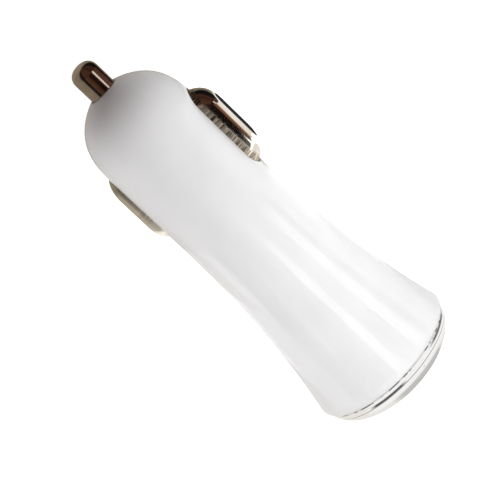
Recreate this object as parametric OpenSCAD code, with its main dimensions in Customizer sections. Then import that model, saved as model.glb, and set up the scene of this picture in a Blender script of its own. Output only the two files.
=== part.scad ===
// Car charger plug with one USB port. It stands on its wide end, with the pin up.

/* [Shell] */
// Diameter of the straight part, which goes into the socket
body_d = 20.4; // [19.8:0.1:20.8]
// Thickness of the shell's wall
wall = 1.6; // [1.5:0.1:1.8]
// Length of the domed nose
dome_len = 12.5; // [11.5:0.5:13.5]
// Power that makes the tip of the dome blunt
dome_blunt = 2.82; // [2.6:0.02:3]
// Power that fills the dome's shoulder
dome_shoulder = 1.63; // [1.5:0.01:1.8]
// Depth that is faced off the dome round the pin
nose_flat = 0.6; // [0.5:0.1:0.8]
// Plastic behind that face, which stops the pin's collar
nose_wall = 2; // [1.6:0.1:2.4]
// Distance from the dome's tip to the start of the flare
flare_start = 26; // [25:0.5:28]
// Length of the flare
flare_len = 42.4; // [40:0.2:46]
// Diameter at the end of the flare
flare_d = 28.7; // [28.3:0.1:30]
// Power of the flare, a higher one opening later
flare_power = 2.35; // [2.1:0.05:2.6]
// Radius of the rounded rim
rim_fillet = 1; // [0.8:0.1:1.3]
// Angle through which the rim turns in before the ring
rim_turn = 50; // [45:1:60]

/* [Centre pin] */
// Diameter of the pin
pin_d = 5.1; // [4.8:0.1:5.4]
// Length of the pin outside the nose
pin_reach = 6; // [5.5:0.05:7]
// Height of the pin's rounded end
pin_nose = 2.3; // [2:0.1:2.5]
// Travel of the pin
pin_travel = 2.5; // [2:0.1:2.8]
// Radial gap round the pin in the nose
pin_gap = 0.08; // [0.05:0.01:0.1]
// Diameter of the pin's collar
collar_d = 7.4; // [6.8:0.1:7.6]
// Thickness of the pin's collar
collar_t = 1.2; // [1:0.1:1.5]

/* [Side contacts] */
// Distance from the dome's tip to the middle of the slots
slot_mid = 19; // [18.5:0.1:19.5]
// Length of a slot
slot_len = 17.8; // [17.4:0.1:18.4]
// Width of a slot
slot_w = 6.4; // [6.2:0.1:6.8]
// Length of the drawn bump at its foot
bump_len = 17.2; // [16.4:0.1:17.3]
// Width of the drawn bump
bump_w = 6; // [5.6:0.1:6]
// Length of the flat on the bump
bump_flat = 10.9; // [10:0.1:12]
// Height of the bump over the straight part of the shell
bump_reach = 2.7; // [2.2:0.1:2.9]
// Rounding of the bump's upper edge
bump_round = 1.3; // [1:0.1:1.4]
// Sheet that the contacts are drawn from
sheet = 0.4; // [0.3:0.05:0.5]
// Width of the flange on each side of the bump
flange = 0.9; // [0.7:0.1:1]
// Distance of the flange's seat from the axis
seat_x = 8.2; // [8.1:0.05:8.3]
// How much deeper the left contact lies
left_drop = 1.4; // [0:0.1:1.6]
// How much nearer to the wide end the left contact lies
left_shift = 0.2; // [0:0.05:0.25]

/* [End ring] */
// Height of the ring outside the shell
ring_h = 5; // [4.8:0.1:5.6]
// Height of the sloping band next to the shell
band_h = 1.3; // [1.2:0.1:1.6]
// Radius that the sloping band loses
band_in = 0.3; // [0.2:0.1:0.8]
// Power of the domed bead, a lower one being flatter
bead_power = 1.5; // [1.4:0.1:2]
// Diameter of the bead's crest, on which the plug stands
crest_d = 17.8; // [17.4:0.1:18.2]
// Diameter of the ring's bore
ring_bore_d = 16.4; // [16:0.1:16.6]
// Length of the skirt inside the shell
skirt_len = 5; // [4.5:0.5:5.5]
// Width of the shell's lip round the skirt
lip_w = 1.6; // [1.5:0.05:1.8]
// Thickness of the skirt
skirt_t = 1.1; // [1:0.1:1.3]

/* [Face] */
// Depth of the panel's face below the crest
panel_sink = 0.6; // [0.4:0.1:0.8]
// Thickness of the panel
panel_t = 1.3; // [1.2:0.1:1.5]
// Distance of the light window from the axis
window_y = 6; // [5.8:0.1:6.2]
// Diameter of the light window
window_d = 2; // [1.6:0.1:2.2]

/* [USB port] */
// Width of the steel receptacle
usb_w = 13.1; // [12.9:0.1:13.3]
// Height of the steel receptacle
usb_t = 5.7; // [5.6:0.05:5.8]
// Depth of the steel receptacle
usb_len = 14; // [13:0.5:15]
// Sheet of the receptacle
usb_sheet = 0.3; // [0.25:0.05:0.3]
// Thickness of the tongue
tongue_t = 1.84; // [1.8:0.02:1.88]
// Width of the tongue
tongue_w = 11.1; // [10.8:0.1:11.2]

/* [Circuit board] */
// Thickness of the board
board_t = 1.2; // [1:0.1:1.3]
// Gap between the board's wide end and the ring's skirt
board_gap = 1.2; // [0.8:0.1:1.6]
// Width of the board along the converter
board_w = 14; // [13.6:0.1:14.2]
// Width of the board between the side contacts
board_narrow = 9.8; // [9.4:0.1:9.8]
// Diameter of the inductor
coil_d = 7.5; // [7:0.5:8]
// Height of the inductor
coil_h = 6; // [5.5:0.5:7]
// Diameter of the output capacitor
out_cap_d = 6.3; // [5.8:0.1:6.3]
// Length of the output capacitor
out_cap_len = 9; // [8:0.5:9.5]
// Diameter of the input capacitor
in_cap_d = 5; // [4.5:0.1:5.2]
// Length of the input capacitor
in_cap_len = 9; // [8:0.5:9.5]

/* [Springs] */
// Wire of the springs
wire_d = 0.45; // [0.35:0.05:0.5]
// Diameter of the side springs
side_spring_d = 4; // [3.6:0.1:4.2]
// Diameter of the pin's spring
pin_spring_d = 4.6; // [4.2:0.1:4.8]
// Turns of each spring
spring_turns = 6; // [5:1:7]

/* [Fits] */
// Gap between a moving piece and what stops it
rest_gap = 0.05; // [0.03:0.01:0.08]
// Gap between fitted pieces that do not move
fit_gap = 0.1; // [0.06:0.01:0.15]

/* [Hidden] */
$fn = 64;

// Shell, from the dome's tip down
body_r = body_d/2;
flare_end = flare_start + flare_len;
seam_r = flare_d/2 - rim_fillet*(1 - cos(rim_turn));
seam_s = flare_end + rim_fillet*sin(rim_turn);
total_h = seam_s + ring_h;
nose_z = total_h - nose_flat;
stop_z = nose_z - nose_wall;
pin_hole_r = pin_d/2 + pin_gap;
socket_r = seam_r - lip_w;
skirt_r = socket_r - fit_gap;
skirt_in = skirt_r - skirt_t;
socket_z = ring_h + skirt_len + fit_gap;
snap_h = 0.9;
snap_out = 0.2;
snap_z = ring_h + skirt_len/2;
collar_room = collar_d/2 + 0.3;
stub_len = 2;
dome_shift = 1.2;
rail_gap = fit_gap;
rail_w = 0.8;
rail_bite = 0.6;

// Side contacts
slot_z = total_h - slot_mid;
left_z = slot_z - left_shift;
bump_h = body_r + bump_reach - seat_x;
flange_len = bump_len + 2*flange + 0.8;
flange_w = bump_w + 2*flange;
flange_x = seat_x - rest_gap;
pocket_w = flange_w + 2*fit_gap;
pocket_len = flange_len + 2*left_shift + 2*fit_gap;
side_travel = bump_reach - 0.1;
crown_in = flange_x + bump_h - sheet;

// Board and carrier
board_y = -usb_t/2;
board_low = board_y - board_t;
board_wide = 2*(sqrt(pow(skirt_in, 2) - pow(board_low, 2)) - board_gap);
carrier_x = flange_x - sheet - side_travel - 0.15;
carrier_low = slot_z - flange_len/2 - 0.4;
carrier_high = slot_z + flange_len/2 + 0.2;
strap_t = 0.4;
strap_x = 2.6;
strap_w = 5;
spring_hole_r = side_spring_d/2 + 0.3;
pin_pocket_r = pin_spring_d/2 + 0.3;
spring_solid = (spring_turns + 1)*wire_d;
spring_spare = 2.8;
pin_seat_z = stop_z - rest_gap - collar_t - pin_travel - spring_solid - spring_spare;
terminal_t = 0.4;
tab_w = 2;
peg_r = 0.6;
pegs = [carrier_low + 2.2, pin_seat_z - 2.2];

// Ring, face and port
kink_z = ring_h - band_h;
kink_r = seam_r - band_in;
bead_r = kink_r - 0.1;
crest_r = crest_d/2;
bore_r = ring_bore_d/2;
shelf_z = panel_sink + panel_t;
shelf_share = 0.8;
shelf_r = bore_r + shelf_share*(skirt_in - bore_r);
rim_t = 1.3;
usb_low = panel_sink + 0.1;
usb_high = usb_low + usb_len;
tongue_y = usb_t/2 - usb_sheet - 0.62;
tongue_low = usb_low + 1.5;
block_t = 4;
finger_x = 3.2;
finger_len = 5.5;
finger_w = 1.8;
finger_slit = 0.4;
strip_x = [-3.5, -1, 1, 3.5];
strip_w = 1;
strip_t = 0.25;
strip_face = tongue_y - tongue_t + 0.6*strip_t;
tail_z = usb_high + 0.1;
leg_x = usb_w/2 - usb_sheet/2;
leg_up = 9;
leg_z = usb_low + leg_up;
leg_w = 1.4;
finger_low = 3;
cut_over = 1;

// Places of the electronic parts on the board
board_foot = shelf_z + rim_t + 0.2;
wide_end = usb_high + 2;
narrow_start = carrier_low - 1.5;
coil_z = narrow_start - coil_d/2 - 0.2;
cheek = 1.2;
coil_core_r = coil_d/2 - 2.1;
cap_low = wide_end + 0.6;
out_cap_x = -board_w/2 + out_cap_d/2 + 0.6;
in_cap_x = out_cap_x + out_cap_d/2 + in_cap_d/2 + 0.3;
cap_lead_r = 0.25;
cap_lead_x = 1;
cap_lead_len = 1.3;
led_d = 3;
led_low = board_foot + 1.6;
led_len = 4.2;
led_pitch = 2.54;
lead_w = 0.5;
lead_rise = led_low + led_len + 1.2;
rail_rest = 1.5;
rail_low = wide_end + 2*rail_rest;
rail_high = narrow_start - rail_rest;

// Small parts: width, length and height as they stand on the board
chip_size = [3.9, 4.9, 1.5];
chip_pitch = 1.27;
chip_foot = 0.9;
diode_size = [2.6, 4.2, 2];
fuse_size = [1.6, 3.2, 0.7];
resistor_size = [1.25, 2, 0.5];
ceramic_size = [1.25, 2, 1.1];
part_pitch = 6;
part_gap = 0.4;
lead_t = 0.2;
ceramic_x = board_w/2 - 1.8;
diode_x = ceramic_x - ceramic_size[0]/2 - part_gap - diode_size[0]/2;
chip_x = diode_x - diode_size[0]/2 - part_gap - chip_foot - chip_size[0]/2;
chip_z = wide_end + chip_size[1]/2 + 1;

function dome_r(s) = body_r*pow(1 - pow(1 - min(s, dome_len)/dome_len, dome_blunt), 1/dome_shoulder);
function flare_r(s) = (flare_d/2 - body_r)*pow(max(0, s - flare_start)/flare_len, flare_power);
function outer_r(s) = dome_r(s) + flare_r(s);
function inner_r(s) = dome_r(s - dome_shift) + flare_r(s) - wall;
function dome_s(i, n, first) = first + (dome_len - first)*pow(i/n, 1.5);
function lead_z(len) = cap_low + len + cap_lead_len - cap_lead_r;

module stadium(length, width) {
    square([length - width, width], center = true);
    for (side = [-1, 1])
        translate([side*(length - width)/2, 0]) circle(d = width);
}

module slab(x, y, z) {
    translate([x[0], y[0], z[0]]) cube([x[1] - x[0], y[1] - y[0], z[1] - z[0]]);
}

// Lays a shape drawn upright on its side, its top towards +X and its length along Z
module facing_right(z) {
    translate([0, 0, z]) rotate([0, 90, 0]) children();
}

// Outline of the cavity between two heights, made larger by grow
module cavity_outline(low, high, grow) {
    polygon([
        [0, low],
        for (i = [0:10]) let (s = total_h - low - i*(high - low)/10) [inner_r(s) + grow, total_h - s],
        [0, high]
    ]);
}

module shell_outline() {
    steps = 16;
    cavity_s = nose_flat + nose_wall + 0.9;
    polygon([
        [pin_hole_r, nose_z],
        for (i = [0:steps]) [dome_r(dome_s(i, steps, nose_flat)), total_h - dome_s(i, steps, nose_flat)],
        for (i = [0:20]) [outer_r(flare_start + i*flare_len/20), total_h - flare_start - i*flare_len/20],
        for (i = [1:4]) let (a = rim_turn*i/5)
            [flare_d/2 - rim_fillet*(1 - cos(a)), total_h - flare_end - rim_fillet*sin(a)],
        [seam_r, ring_h],
        [socket_r, ring_h],
        [socket_r, snap_z - fit_gap],
        [socket_r + snap_out, snap_z + snap_out],
        [socket_r + snap_out, snap_z + snap_h - snap_out],
        [socket_r, snap_z + snap_h + fit_gap],
        [socket_r, socket_z],
        for (i = [0:16]) let (s = total_h - socket_z - i*(total_h - socket_z - flare_start)/16)
            [inner_r(s), total_h - s],
        for (i = [10:-1:0]) let (s = dome_s(i, 10, cavity_s)) [inner_r(s), total_h - s],
        [collar_room, total_h - cavity_s],
        [collar_room, stop_z],
        [pin_hole_r, stop_z]
    ]);
}

module shell() {
    color("white") {
        difference() {
            rotate_extrude($fn = 128) shell_outline();
            for (side = [0, 180]) rotate([0, 0, side]) {
                facing_right(slot_z) linear_extrude(2*body_r) stadium(slot_len, slot_w);
                slab([0, seat_x], [-pocket_w/2, pocket_w/2], [slot_z - pocket_len/2, slot_z + pocket_len/2]);
            }
        }
        board_rails();
    }
}

// Ribs inside the shell that guide the board's edges
module board_rails() {
    for (side = [-1, 1], y = [board_y + rail_gap, board_low - rail_gap - rail_w])
        intersection() {
            translate([side > 0 ? board_w/2 - rail_bite : -body_r - board_w/2 + rail_bite, y, rail_low])
                cube([body_r, rail_w, rail_high - rail_low]);
            rotate_extrude($fn = 96) cavity_outline(rail_low - 1, rail_high + 1, wall/2);
        }
}

module ring_outline() {
    steps = 14;
    polygon([
        [seam_r - rest_gap, ring_h],
        [kink_r, kink_z],
        [bead_r, kink_z],
        for (i = [1:steps]) let (a = 90*i/steps)
            [crest_r + (bead_r - crest_r)*pow(cos(a), 2/bead_power), kink_z*(1 - pow(sin(a), 2/bead_power))],
        [bore_r + 0.2, 0],
        [bore_r, 0.2],
        [bore_r, shelf_z],
        [shelf_r, shelf_z],
        [shelf_r, shelf_z + rim_t + 0.1],
        [skirt_in, shelf_z + rim_t + 0.1],
        [skirt_in, ring_h + skirt_len],
        [skirt_r - 0.3, ring_h + skirt_len],
        [skirt_r, ring_h + skirt_len - 0.3],
        [skirt_r, snap_z + snap_h],
        [skirt_r + snap_out, snap_z + snap_h - snap_out],
        [skirt_r + snap_out, snap_z + snap_out],
        [skirt_r, snap_z],
        [skirt_r, ring_h]
    ]);
}

module bezel_ring() {
    color("silver") rotate_extrude($fn = 128) ring_outline();
}

module face_panel() {
    color("white") difference() {
        union() {
            translate([0, 0, panel_sink]) cylinder(r = bore_r - fit_gap, h = panel_t);
            translate([0, 0, shelf_z]) cylinder(r = shelf_r - fit_gap, h = rim_t);
        }
        slab([-usb_w/2 - fit_gap, usb_w/2 + fit_gap], [-usb_t/2 - fit_gap, usb_t/2 + fit_gap],
            [0, shelf_z + 2*rim_t]);
        translate([0, -window_y, 0]) cylinder(d = window_d + 0.1, h = 2*shelf_z + rim_t);
    }
}

module light_pipe() {
    color("ghostwhite", 0.6) translate([0, -window_y, 0]) {
        translate([0, 0, panel_sink]) cylinder(d = window_d, h = board_foot + 1.5 - panel_sink);
        translate([0, 0, shelf_z + rim_t]) cylinder(d = window_d + 1, h = 0.6);
    }
}

module centre_pin() {
    shoulder_z = nose_z + pin_reach - pin_nose;
    tip_r = pin_d/2;
    collar_z = stop_z - rest_gap;
    stub_r = pin_spring_d/2 - wire_d - 0.2;
    color("silver") rotate_extrude($fn = 96) polygon([
        [0, collar_z - collar_t - stub_len],
        [stub_r, collar_z - collar_t - stub_len],
        [stub_r, collar_z - collar_t],
        [collar_d/2, collar_z - collar_t],
        [collar_d/2, collar_z],
        [tip_r, collar_z],
        for (a = [0:7.5:90]) [tip_r*pow(cos(a), 0.85), shoulder_z + pin_nose*pow(sin(a), 0.85)]
    ]);
}

// Coil of round wire that stands on z = 0, its end turns closed
module coil_spring(d, height) {
    rings = spring_turns*14;
    sides = 6;
    r = (d - wire_d)/2;
    rise = height - wire_d;
    function climb(t) = let (n = spring_turns)
        t*n < 1 ? t*n*wire_d : t*n > n - 1 ? rise - (1 - t)*n*wire_d
        : wire_d + (t*n - 1)/(n - 2)*(rise - 2*wire_d);
    points = [for (i = [0:rings]) let (a = 360*spring_turns*i/rings, h = wire_d/2 + climb(i/rings))
        for (k = [0:sides - 1]) let (b = 360*k/sides + 30, q = r + wire_d/2*cos(b))
            [q*cos(a), q*sin(a), h + wire_d/2*sin(b)]];
    walls = [for (i = [0:rings - 1], k = [0:sides - 1])
        [i*sides + k, i*sides + (k + 1)%sides, (i + 1)*sides + (k + 1)%sides, (i + 1)*sides + k]];
    polyhedron(points, concat(walls,
        [[for (k = [sides - 1:-1:0]) k], [for (k = [0:sides - 1]) rings*sides + k]]), convexity = 10);
}

module pin_spring() {
    low = pin_seat_z + terminal_t + rest_gap;
    color("gainsboro") translate([0, 0, low])
        coil_spring(pin_spring_d, stop_z - 2*rest_gap - collar_t - low);
}

// Seat of the pin's spring, with a tab that goes down through the board
module pin_terminal() {
    color("goldenrod") {
        translate([0, 0, pin_seat_z]) cylinder(r = pin_pocket_r - fit_gap, h = terminal_t);
        slab([-tab_w/2, tab_w/2], [board_low - 0.5, -pin_pocket_r/2], [pin_seat_z, pin_seat_z + terminal_t]);
    }
}

// Drawn bump: an oblong foot that runs up into a smaller crown with a rounded edge
module bump_form(length, width, flat, height, round, foot) {
    crown_r = width/2 - round - 0.1;
    hull() {
        linear_extrude(foot) stadium(length, width);
        for (side = [-1, 1])
            translate([side*(flat/2 - crown_r), 0, height - round])
                rotate_extrude($fn = 32) translate([crown_r, 0]) circle(round, $fn = 24);
    }
}

// Drawn contact, its flange at z = 0 and its crown up
module contact() {
    foot = body_r - seat_x - 0.3;
    difference() {
        union() {
            translate([0, 0, -sheet]) linear_extrude(sheet) {
                square([flange_len - 2, flange_w], center = true);
                square([flange_len, flange_w - 2], center = true);
                for (x = [-1, 1], y = [-1, 1])
                    translate([x*(flange_len/2 - 1), y*(flange_w/2 - 1)]) circle(1);
            }
            bump_form(bump_len, bump_w, bump_flat, bump_h, bump_round, foot);
        }
        translate([0, 0, -2*sheet])
            bump_form(bump_len - 2*sheet, bump_w - 2*sheet, bump_flat - sheet, bump_h + sheet,
                bump_round - sheet/2, foot + sheet);
    }
}

module side_contact_right() {
    color("silver") facing_right(slot_z) translate([0, 0, flange_x]) contact();
}

module side_contact_left() {
    color("silver") rotate([0, 0, 180]) facing_right(left_z)
        translate([0, 0, flange_x - left_drop]) contact();
}

module side_spring(drop) {
    low = strap_x + strap_t + rest_gap;
    translate([0, 0, low]) coil_spring(side_spring_d, crown_in - drop - rest_gap - low);
}

module contact_spring_right() {
    color("gainsboro") facing_right(slot_z) side_spring(0);
}

module contact_spring_left() {
    color("gainsboro") rotate([0, 0, 180]) facing_right(slot_z) side_spring(left_drop);
}

// Folded strip: both side springs stand on its upright ends
module ground_strap() {
    out = strap_x + strap_t;
    top = side_spring_d/2;
    z = [slot_z - strap_w/2, slot_z + strap_w/2];
    color("gold") {
        slab([-out, out], [board_y, board_y + strap_t], z);
        slab([-out, -strap_x], [board_y, top], z);
        slab([strap_x, out], [board_y, top], z);
    }
}

module spring_carrier() {
    color("dimgray") {
        difference() {
            intersection() {
                slab([-carrier_x, carrier_x], [board_y, body_r], [carrier_low, carrier_high]);
                rotate_extrude($fn = 96) cavity_outline(carrier_low, carrier_high, -fit_gap);
            }
            for (side = [0, 180]) rotate([0, 0, side]) facing_right(slot_z)
                translate([0, 0, strap_x + strap_t]) cylinder(r = spring_hole_r, h = body_r);
            strap_room();
            translate([0, 0, pin_seat_z]) cylinder(r = pin_pocket_r, h = total_h);
            slab([-tab_w/2 - fit_gap, tab_w/2 + fit_gap], [board_y - 1, 0],
                [pin_seat_z, pin_seat_z + terminal_t + fit_gap]);
        }
        for (z = pegs) translate([0, board_y, z]) rotate([90, 0, 0]) cylinder(r = peg_r, h = board_t + 0.4);
    }
}

// Room for the strap inside the carrier
module strap_room() {
    out = strap_x + strap_t;
    top = side_spring_d/2 + fit_gap;
    z = [slot_z - strap_w/2 - fit_gap, slot_z + strap_w/2 + fit_gap];
    slab([-out, out], [board_y - 1, board_y + strap_t + fit_gap], z);
    slab([-out, -strap_x + fit_gap], [board_y - 1, top], z);
    slab([strap_x - fit_gap, out], [board_y - 1, top], z);
}

module board_hole(x, z, r) {
    translate([x, board_low - 1, z]) rotate([-90, 0, 0]) cylinder(r = r, h = board_t + 2, $fn = 24);
}

module circuit_board() {
    color("darkgreen") difference() {
        union() {
            slab([-board_wide/2, board_wide/2], [board_low, board_y], [board_foot, wide_end]);
            slab([-board_w/2, board_w/2], [board_low, board_y], [wide_end, narrow_start]);
            slab([-board_narrow/2, board_narrow/2], [board_low, board_y], [narrow_start, carrier_high]);
        }
        for (z = pegs) board_hole(0, z, peg_r + fit_gap);
        for (x = strip_x) board_hole(x, tail_z + strip_t/2, 0.5);
        for (side = [-1, 1]) slab([side*leg_x - 0.3, side*leg_x + 0.3],
            [board_low - cut_over, board_y + cut_over], [leg_z - leg_w/2 - 0.2, leg_z + leg_w/2 + 0.2]);
        slab([-tab_w/2 - fit_gap, tab_w/2 + fit_gap], [board_low - 1, board_y + 1],
            [pin_seat_z - fit_gap, pin_seat_z + terminal_t + fit_gap]);
        for (x = [out_cap_x - cap_lead_x, out_cap_x + cap_lead_x]) board_hole(x, lead_z(out_cap_len), 0.4);
        for (x = [in_cap_x - cap_lead_x, in_cap_x + cap_lead_x]) board_hole(x, lead_z(in_cap_len), 0.4);
        for (side = [-1, 1]) board_hole(side*led_pitch/2, lead_rise, 0.4);
    }
}
module usb_shell() {
    inner = [usb_w/2 - usb_sheet, usb_t/2 - usb_sheet];
    color("lightgray") {
        difference() {
            slab([-usb_w/2, usb_w/2], [-usb_t/2, usb_t/2], [usb_low, usb_high]);
            slab([-inner[0], inner[0]], [-inner[1], inner[1]], [usb_low - cut_over, usb_high - usb_sheet]);
            slab([-inner[0] + 1, inner[0] - 1], [-inner[1], tongue_y], [usb_high - 1, usb_high + cut_over]);
            for (x = [-finger_x, finger_x], y = [-1, 1]) finger_cut(x, y);
        }
        for (side = [-1, 1]) slab([side*leg_x - usb_sheet/2, side*leg_x + usb_sheet/2],
            [board_low - 0.6, board_y + usb_sheet], [leg_z - leg_w/2, leg_z + leg_w/2]);
    }
}

// Slot round a spring finger in the receptacle's wide faces
module finger_cut(x, side) {
    out = finger_w/2 + finger_slit;
    z = [usb_low + finger_low, usb_low + finger_low + finger_len];
    deep = usb_t/2 - 2*usb_sheet;
    y = side > 0 ? [deep, usb_t/2 + cut_over] : [-usb_t/2 - cut_over, -deep];
    slab([x - out, x - finger_w/2], y, z);
    slab([x + finger_w/2, x + out], y, z);
    slab([x - out, x + out], y, [z[0], z[0] + finger_slit]);
}

module usb_tongue() {
    inner = [usb_w/2 - usb_sheet - fit_gap/2, usb_t/2 - usb_sheet - fit_gap/2];
    block_low = usb_high - usb_sheet - block_t;
    color("whitesmoke") difference() {
        union() {
            slab([-inner[0], inner[0]], [-inner[1], inner[1]], [block_low, usb_high - usb_sheet]);
            slab([-tongue_w/2, tongue_w/2], [tongue_y - tongue_t, tongue_y], [tongue_low, block_low]);
        }
        for (x = strip_x) slab([x - strip_w/2 - 0.05, x + strip_w/2 + 0.05],
            [tongue_y - tongue_t - cut_over, strip_face], [tongue_low + 0.6, usb_high + cut_over]);
    }
}

module usb_contacts() {
    color("gold") for (x = strip_x) {
        slab([x - strip_w/2, x + strip_w/2], [strip_face - strip_t, strip_face],
            [tongue_low + 0.7, tail_z + strip_t]);
        slab([x - 0.3, x + 0.3], [board_low - 0.6, strip_face], [tail_z, tail_z + strip_t]);
    }
}

module on_board(x, z) {
    translate([x, board_y, z]) rotate([-90, 0, 0]) children();
}

// Parts on the underside of the board
module under_board(x, z) {
    translate([x, board_low, z]) rotate([90, 0, 0]) children();
}

module inductor_core() {
    color("dimgray") on_board(0, coil_z) {
        cylinder(d = coil_d, h = cheek);
        cylinder(r = coil_core_r, h = coil_h);
        translate([0, 0, coil_h - cheek]) cylinder(d = coil_d, h = cheek);
    }
}

module inductor_winding() {
    turns = 5;
    wire = (coil_h - 2*cheek - 0.1)/turns;
    color("chocolate") on_board(0, coil_z) for (i = [0:turns - 1])
        translate([0, 0, cheek + 0.05 + wire*(i + 0.5)]) difference() {
            cylinder(d = coil_d - 0.9, h = wire, center = true);
            cylinder(r = coil_core_r + 0.05, h = 2*wire, center = true);
        }
}

// Electrolytic can that lies on the board, its crimped end towards the leads
module can(x, d, len) {
    groove = 0.25;
    translate([x, board_y + d/2 + 0.02, cap_low]) rotate_extrude() polygon([
        [0, 0], [d/2 - 0.3, 0], [d/2, 0.3], [d/2, len - 2], [d/2 - groove, len - 1.7],
        [d/2 - groove, len - 1.2], [d/2, len - 0.9], [d/2, len - 0.2], [d/2 - 0.2, len], [0, len]
    ]);
}

module input_capacitor() {
    color("midnightblue") can(in_cap_x, in_cap_d, in_cap_len);
}

module output_capacitor() {
    color("darkslategray") can(out_cap_x, out_cap_d, out_cap_len);
}

module can_leads(x, d, len) {
    for (side = [-1, 1]) translate([x + side*cap_lead_x, 0, 0]) {
        translate([0, board_y + d/2, cap_low + len]) cylinder(r = cap_lead_r, h = cap_lead_len, $fn = 16);
        translate([0, board_low - 0.6, lead_z(len)]) rotate([-90, 0, 0])
            cylinder(r = cap_lead_r, h = d/2 + board_t + 0.6 + cap_lead_r, $fn = 16);
    }
}

module capacitor_leads() {
    color("silver") {
        can_leads(in_cap_x, in_cap_d, in_cap_len);
        can_leads(out_cap_x, out_cap_d, out_cap_len);
    }
}

module converter_chip() {
    color("black") under_board(chip_x, chip_z)
        translate([0, 0, chip_size[2]/2 + lead_t/2]) cube(chip_size, center = true);
}

module chip_leads() {
    color("silver") for (side = [-1, 1], i = [-1.5:1.5])
        under_board(chip_x, chip_z) translate([side*chip_size[0]/2, i*chip_pitch, 0]) {
            translate([side*chip_foot/2, 0, lead_t/2]) cube([chip_foot, 0.4, lead_t], center = true);
            translate([side*lead_t/2, 0, chip_foot/2]) cube([lead_t, 0.4, chip_foot], center = true);
        }
}

module schottky_diode() {
    color("black") under_board(diode_x, chip_z)
        translate([0, 0, diode_size[2]/2 + lead_t]) cube(diode_size, center = true);
}

module diode_tabs() {
    rise = 1.2;
    tab = 1.5;
    color("silver") under_board(diode_x, chip_z) for (side = [-1, 1])
        translate([0, side*diode_size[1]/2, 0]) {
            translate([0, side*0.25, lead_t/2]) cube([tab, 0.9, lead_t], center = true);
            translate([0, side*lead_t/2, rise/2]) cube([tab, lead_t, rise], center = true);
        }
}

module chip(size) {
    translate([0, 0, size[2]/2]) cube(size, center = true);
}

module chip_fuse() {
    color("ivory") under_board(0, narrow_start - part_pitch/2) chip(fuse_size);
}

module chip_resistors() {
    color("black") for (i = [-1:1], row = [0, 1])
        under_board(i*part_pitch/2 - part_pitch/4, cap_low + part_pitch*(row + 1.4)) chip(resistor_size);
}

module ceramic_capacitors() {
    color("tan") for (row = [0:2])
        under_board(ceramic_x, cap_low + part_pitch*(row + 0.9)) chip(ceramic_size);
}

module indicator_led() {
    body = led_len - led_d/2;
    color("aliceblue") translate([0, -window_y, led_low]) {
        translate([0, 0, led_d/2]) sphere(d = led_d);
        translate([0, 0, led_d/2]) cylinder(d = led_d, h = body);
        translate([0, 0, led_len - 1]) cylinder(d = led_d + 0.6, h = 1);
    }
}

module led_leads() {
    color("silver") for (side = [-1, 1]) {
        slab([side*led_pitch/2 - lead_w/2, side*led_pitch/2 + lead_w/2],
            [-window_y - lead_w/2, -window_y + lead_w/2], [led_low + led_len, lead_rise + lead_w/2]);
        slab([side*led_pitch/2 - lead_w/2, side*led_pitch/2 + lead_w/2],
            [-window_y, board_y - 0.2], [lead_rise - lead_w/2, lead_rise + lead_w/2]);
    }
}

shell();
bezel_ring();
face_panel();
light_pipe();
centre_pin();
pin_spring();
pin_terminal();
side_contact_right();
side_contact_left();
contact_spring_right();
contact_spring_left();
ground_strap();
spring_carrier();
circuit_board();
usb_shell();
usb_tongue();
usb_contacts();
inductor_core();
inductor_winding();
input_capacitor();
output_capacitor();
capacitor_leads();
converter_chip();
chip_leads();
schottky_diode();
diode_tabs();
chip_fuse();
chip_resistors();
ceramic_capacitors();
indicator_led();
led_leads();
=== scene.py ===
from math import acos, atan2, cos, hypot, pi, radians, sin, sqrt

import bmesh
import bpy
from mathutils import Matrix, Vector


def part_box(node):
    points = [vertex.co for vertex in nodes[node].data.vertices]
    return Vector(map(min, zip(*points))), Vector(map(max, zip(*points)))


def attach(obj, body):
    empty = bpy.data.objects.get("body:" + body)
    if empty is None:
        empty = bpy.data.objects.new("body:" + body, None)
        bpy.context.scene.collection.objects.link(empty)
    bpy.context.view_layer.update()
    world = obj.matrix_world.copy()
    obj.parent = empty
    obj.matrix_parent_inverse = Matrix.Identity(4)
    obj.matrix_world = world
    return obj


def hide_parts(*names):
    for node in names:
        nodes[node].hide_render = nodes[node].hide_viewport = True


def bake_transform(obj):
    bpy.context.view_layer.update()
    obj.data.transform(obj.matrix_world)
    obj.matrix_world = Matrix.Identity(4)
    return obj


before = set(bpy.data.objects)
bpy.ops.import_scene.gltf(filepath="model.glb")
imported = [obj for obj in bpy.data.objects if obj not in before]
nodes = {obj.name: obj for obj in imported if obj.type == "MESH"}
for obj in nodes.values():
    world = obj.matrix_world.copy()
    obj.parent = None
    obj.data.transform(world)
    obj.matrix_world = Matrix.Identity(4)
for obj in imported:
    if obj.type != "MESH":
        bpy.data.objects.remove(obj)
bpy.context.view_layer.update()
mm = 0.001
nearZero = 0.001*mm
print("stage: frame loaded,", len(nodes), "nodes")


# Small helpers

def linearColour(hexCode):
    # sRGB hex to the linear values that a shader takes
    values = [int(hexCode[i:i + 2], 16)/255 for i in (1, 3, 5)]
    return [v/12.92 if v <= 0.04045 else ((v + 0.055)/1.055)**2.4 for v in values] + [1.0]


def addNode(tree, kind, inputs=None, **settings):
    # a number or colour sets a socket, and another node's output is linked to it
    node = tree.nodes.new(kind)
    for key, value in settings.items():
        setattr(node, key, value)
    for key, value in (inputs or {}).items():
        if isinstance(value, bpy.types.NodeSocket):
            tree.links.new(value, node.inputs[key])
        else:
            node.inputs[key].default_value = value
    return node


def newMaterial(name):
    material = bpy.data.materials.new(name)
    material.use_nodes = True
    tree = material.node_tree
    tree.nodes.clear()
    place = addNode(tree, "ShaderNodeTexCoord").outputs["Object"]
    return material, tree, place


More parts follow.
